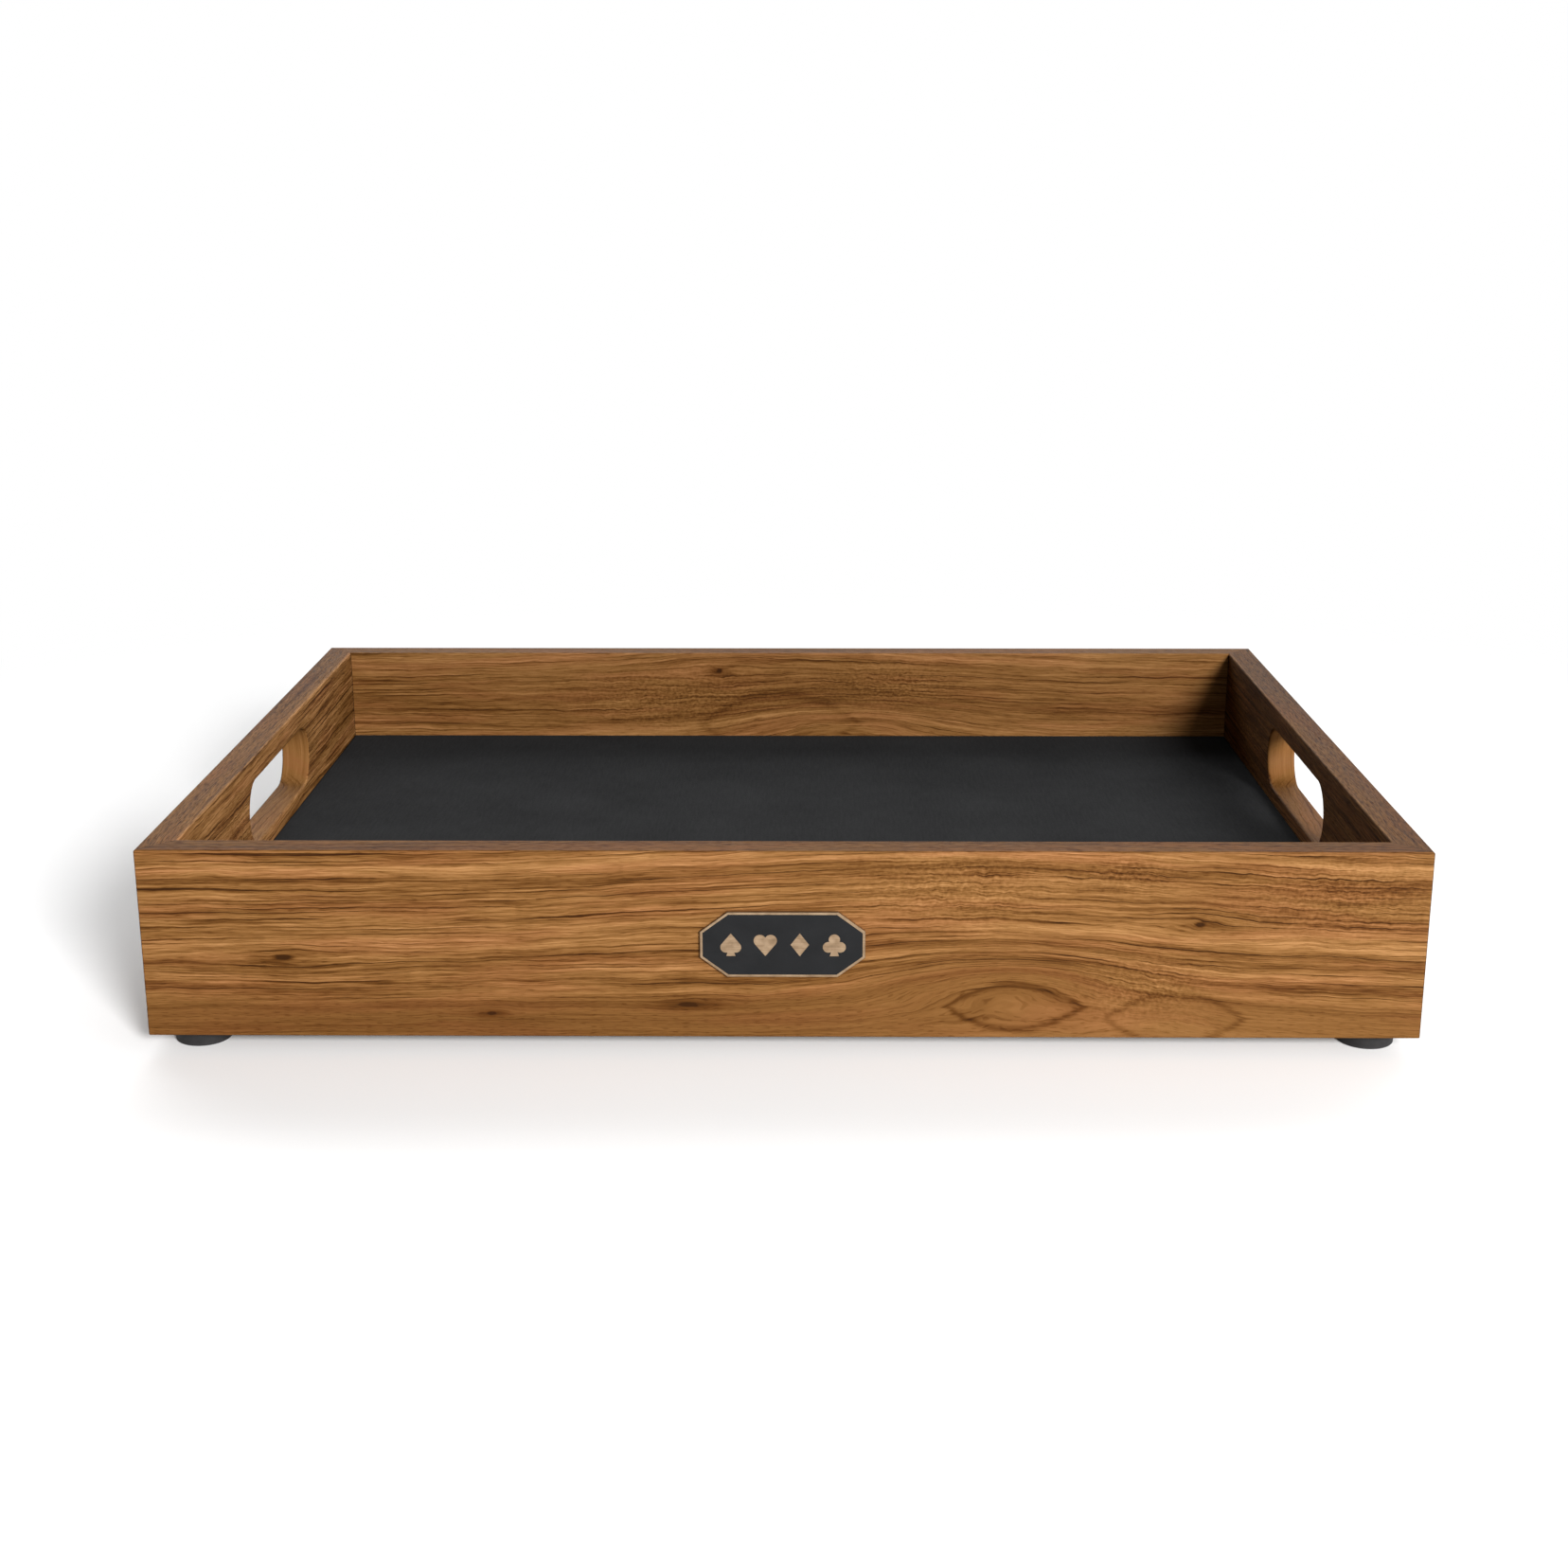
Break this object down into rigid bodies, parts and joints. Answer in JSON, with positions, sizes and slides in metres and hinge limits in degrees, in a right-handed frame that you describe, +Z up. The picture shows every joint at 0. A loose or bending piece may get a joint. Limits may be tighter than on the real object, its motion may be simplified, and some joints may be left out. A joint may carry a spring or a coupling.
{
  "type": "serving tray",
  "caption": "Shallow walnut serving tray for a games room: mitred boards, a raised black lined floor, a rounded hand slot in each end, rubber feet and a small brass badge.",
  "frame": {"origin": "on the surface that the feet stand on, under the middle of the boards", "axes": "+X along the length to the right end, +Y from the front board with the badge to the back board, +Z up"},
  "size_m": [0.56, 0.408, 0.094],
  "materials": {
    "walnut": "oiled walnut, satin, straight grain along each board with a few small knots",
    "hardwood": "plain sawn pale hardwood",
    "plywood": "sanded birch plywood",
    "balancing_sheet": "walnut veneer, matt",
    "leatherette": "matt black leatherette with a fine grain",
    "rubber": "matt black moulded rubber",
    "zinc_steel": "bright zinc-plated steel",
    "brass": "antique brass, brushed",
    "enamel": "dark grey enamel fill, satin",
    "foam_tape": "black double-sided tape"
  },
  "bodies": {
    "root": {"back_board": "walnut", "badge_enamel": "enamel", "badge_pin_left": "brass", "badge_pin_right": "brass", "badge_plate": "brass", "badge_tape": "foam_tape", "base_backing": "balancing_sheet", "base_lining": "leatherette", "base_panel": "plywood", "block_screws_back_left": "zinc_steel", "block_screws_back_right": "zinc_steel", "block_screws_front_left": "zinc_steel", "block_screws_front_right": "zinc_steel", "corner_block_back_left": "hardwood", "corner_block_back_right": "hardwood", "corner_block_front_left": "hardwood", "corner_block_front_right": "hardwood", "foot_screw_back_left": "zinc_steel", "foot_screw_back_right": "zinc_steel", "foot_screw_front_left": "zinc_steel", "foot_screw_front_right": "zinc_steel", "foot_washer_back_left": "zinc_steel", "foot_washer_back_right": "zinc_steel", "foot_washer_front_left": "zinc_steel", "foot_washer_front_right": "zinc_steel", "front_board": "walnut", "left_end_board": "walnut", "mitre_spline_back_left": "hardwood", "mitre_spline_back_right": "hardwood", "mitre_spline_front_left": "hardwood", "mitre_spline_front_right": "hardwood", "right_end_board": "walnut", "rubber_foot_back_left": "rubber", "rubber_foot_back_right": "rubber", "rubber_foot_front_left": "rubber", "rubber_foot_front_right": "rubber"}
  },
  "joints": []
}
